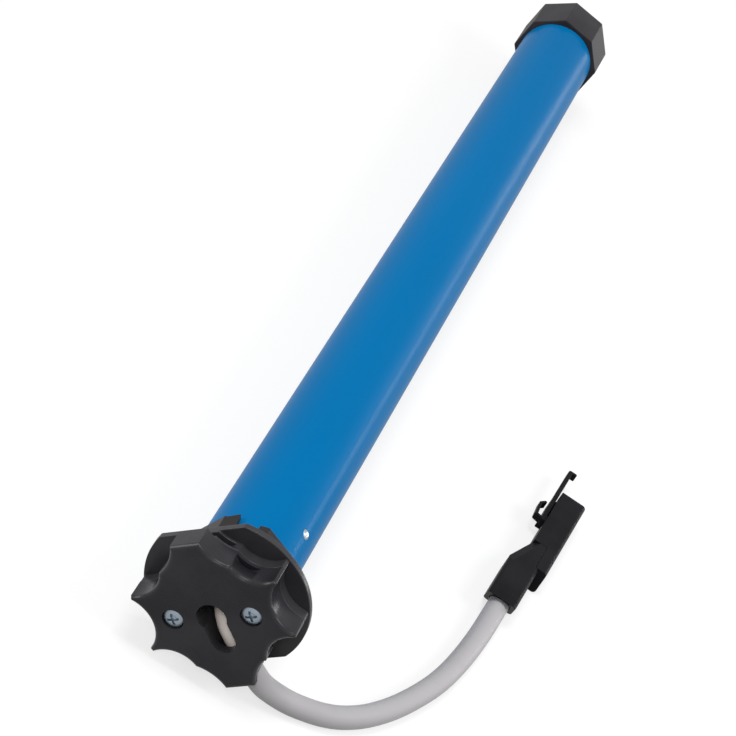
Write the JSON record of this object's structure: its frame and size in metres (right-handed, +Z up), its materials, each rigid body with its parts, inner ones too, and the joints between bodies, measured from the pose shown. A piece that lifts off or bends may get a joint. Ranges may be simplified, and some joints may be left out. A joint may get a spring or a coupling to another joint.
{
  "type": "tubular roller blind motor",
  "caption": "Tubular motor for a roller blind: star-shaped head with a short lead and latching plug, enamelled tube, octagonal limit crown and geared octagonal drive.",
  "frame": {"origin": "on the motor axis, at the front face of the star head", "axes": "+X along the motor axis from the star head to the drive, +Z up, with the plug lying on the -Y side"},
  "size_m": [0.4891, 0.1314, 0.0584],
  "materials": {
    "head_plastic": "matte moulded",
    "cover_plastic": "fine-grained moulded",
    "crown_plastic": "satin moulded",
    "drive_plastic": "satin moulded",
    "plug_plastic": "fine-grained moulded",
    "tube_paint": "smooth enamel",
    "lead_jacket": "smooth matte jacket",
    "bright_zinc": "zinc plated",
    "screw_zinc": "dull blue zinc plated",
    "ground_steel": "ground",
    "sintered_steel": "sintered",
    "lamination": "stacked sheet",
    "copper_wire": "enamelled copper",
    "bronze": "oiled sintered bronze",
    "contact_brass": "bright",
    "gear_nylon": "satin nylon",
    "unit_nylon": "satin nylon",
    "switch_case": "gloss",
    "board_laminate": "solder mask",
    "capacitor_can": "drawn",
    "foam_rubber": "matte",
    "die_casting": "cast",
    "friction_lining": "pressed fibre",
    "spring_steel": "drawn wire"
  },
  "bodies": {
    "motor": {"star_cover": "cover_plastic", "head_body": "head_plastic", "head_screws": "screw_zinc", "lead_tail": "lead_jacket", "lead_collar": "foam_rubber", "power_lead": "lead_jacket", "plug_sleeve": "plug_plastic", "plug_body": "plug_plastic", "plug_contacts": "contact_brass", "latch_pin": "ground_steel", "motor_tube": "tube_paint", "tube_rivets": "bright_zinc", "limit_unit": "unit_nylon", "limit_switches": "switch_case", "terminal_board": "board_laminate", "capacitor": "capacitor_can", "capacitor_sleeve": "foam_rubber", "brake_magnet": "sintered_steel", "brake_winding": "copper_wire", "brake_spring": "spring_steel", "rear_shield": "die_casting", "front_shield": "die_casting", "rear_bush": "bronze", "front_bush": "bronze", "stator_core": "lamination", "stator_winding": "copper_wire", "gear_plate": "die_casting", "ring_gear": "sintered_steel", "output_bushes": "bronze", "end_housing": "die_casting"},
    "crown": {"crown_ring": "crown_plastic"},
    "pinion": {"limit_pinion": "gear_nylon"},
    "armature": {"brake_armature": "ground_steel"},
    "rotor": {"rotor_core": "lamination", "rotor_shaft": "ground_steel", "sun_pinion": "sintered_steel", "brake_disc": "friction_lining"},
    "first_carrier": {"carrier_1": "sintered_steel", "pins_1": "ground_steel"},
    "second_carrier": {"carrier_2": "sintered_steel", "pins_2": "ground_steel"},
    "drive": {"carrier_3": "sintered_steel", "pins_3": "ground_steel", "output_shaft": "ground_steel", "drive_adapter": "drive_plastic", "drive_screw": "bright_zinc"},
    "latch": {"plug_latch": "plug_plastic"},
    "planet_1a_body": {"planet_1a": "gear_nylon"},
    "planet_1b_body": {"planet_1b": "gear_nylon"},
    "planet_1c_body": {"planet_1c": "gear_nylon"},
    "planet_2a_body": {"planet_2a": "sintered_steel"},
    "planet_2b_body": {"planet_2b": "sintered_steel"},
    "planet_2c_body": {"planet_2c": "sintered_steel"},
    "planet_3a_body": {"planet_3a": "sintered_steel"},
    "planet_3b_body": {"planet_3b": "sintered_steel"},
    "planet_3c_body": {"planet_3c": "sintered_steel"}
  },
  "joints": [
    {"name": "crown_turn", "type": "hinge", "parent": "motor", "child": "crown", "pos_m": [0.023, 0, 0], "axis": [1, 0, 0], "continuous": true},
    {"name": "pinion_turn", "type": "hinge", "parent": "motor", "child": "pinion", "pos_m": [0.019, 0, 0.0132], "axis": [1, 0, 0], "continuous": true},
    {"name": "armature_slide", "type": "slide", "parent": "motor", "child": "armature", "axis": [1, 0, 0], "range_m": [-0.0004, 0], "stiffness_N_per_m": 2000},
    {"name": "rotor_turn", "type": "hinge", "parent": "motor", "child": "rotor", "pos_m": [0.27, 0, 0], "axis": [1, 0, 0], "continuous": true},
    {"name": "first_carrier_turn", "type": "hinge", "parent": "motor", "child": "first_carrier", "pos_m": [0.36, 0, 0], "axis": [1, 0, 0], "continuous": true},
    {"name": "second_carrier_turn", "type": "hinge", "parent": "motor", "child": "second_carrier", "pos_m": [0.38, 0, 0], "axis": [1, 0, 0], "continuous": true},
    {"name": "drive_turn", "type": "hinge", "parent": "motor", "child": "drive", "pos_m": [0.47, 0, 0], "axis": [1, 0, 0], "continuous": true},
    {"name": "latch_lift", "type": "hinge", "parent": "motor", "child": "latch", "pos_m": [0.17229, -0.09087, -0.02187], "axis": [0, 0, 1], "range_deg": [0, 7], "stiffness_Nm_per_rad": 0.05},
    {"name": "planet_1a_turn", "type": "hinge", "parent": "first_carrier", "child": "planet_1a_body", "pos_m": [0.36, 0.009, 0], "axis": [1, 0, 0], "continuous": true},
    {"name": "planet_1b_turn", "type": "hinge", "parent": "first_carrier", "child": "planet_1b_body", "pos_m": [0.36, -0.0045, 0.00779], "axis": [1, 0, 0], "continuous": true},
    {"name": "planet_1c_turn", "type": "hinge", "parent": "first_carrier", "child": "planet_1c_body", "pos_m": [0.36, -0.0045, -0.00779], "axis": [1, 0, 0], "continuous": true},
    {"name": "planet_2a_turn", "type": "hinge", "parent": "second_carrier", "child": "planet_2a_body", "pos_m": [0.38, 0.009, 0], "axis": [1, 0, 0], "continuous": true},
    {"name": "planet_2b_turn", "type": "hinge", "parent": "second_carrier", "child": "planet_2b_body", "pos_m": [0.38, -0.0045, 0.00779], "axis": [1, 0, 0], "continuous": true},
    {"name": "planet_2c_turn", "type": "hinge", "parent": "second_carrier", "child": "planet_2c_body", "pos_m": [0.38, -0.0045, -0.00779], "axis": [1, 0, 0], "continuous": true},
    {"name": "planet_3a_turn", "type": "hinge", "parent": "drive", "child": "planet_3a_body", "pos_m": [0.4, 0.009, 0], "axis": [1, 0, 0], "continuous": true},
    {"name": "planet_3b_turn", "type": "hinge", "parent": "drive", "child": "planet_3b_body", "pos_m": [0.4, -0.0045, 0.00779], "axis": [1, 0, 0], "continuous": true},
    {"name": "planet_3c_turn", "type": "hinge", "parent": "drive", "child": "planet_3c_body", "pos_m": [0.4, -0.0045, -0.00779], "axis": [1, 0, 0], "continuous": true}
  ],
  "couplings": [
    {"joint": "pinion_turn", "follows": "crown_turn", "ratio": 4.1429},
    {"joint": "first_carrier_turn", "follows": "rotor_turn", "ratio": 0.2},
    {"joint": "second_carrier_turn", "follows": "rotor_turn", "ratio": 0.04},
    {"joint": "drive_turn", "follows": "rotor_turn", "ratio": 0.008},
    {"joint": "planet_1a_turn", "follows": "rotor_turn", "ratio": -0.53333},
    {"joint": "planet_1b_turn", "follows": "rotor_turn", "ratio": -0.53333},
    {"joint": "planet_1c_turn", "follows": "rotor_turn", "ratio": -0.53333},
    {"joint": "planet_2a_turn", "follows": "rotor_turn", "ratio": -0.10667},
    {"joint": "planet_2b_turn", "follows": "rotor_turn", "ratio": -0.10667},
    {"joint": "planet_2c_turn", "follows": "rotor_turn", "ratio": -0.10667},
    {"joint": "planet_3a_turn", "follows": "rotor_turn", "ratio": -0.021333},
    {"joint": "planet_3b_turn", "follows": "rotor_turn", "ratio": -0.021333},
    {"joint": "planet_3c_turn", "follows": "rotor_turn", "ratio": -0.021333}
  ]
}
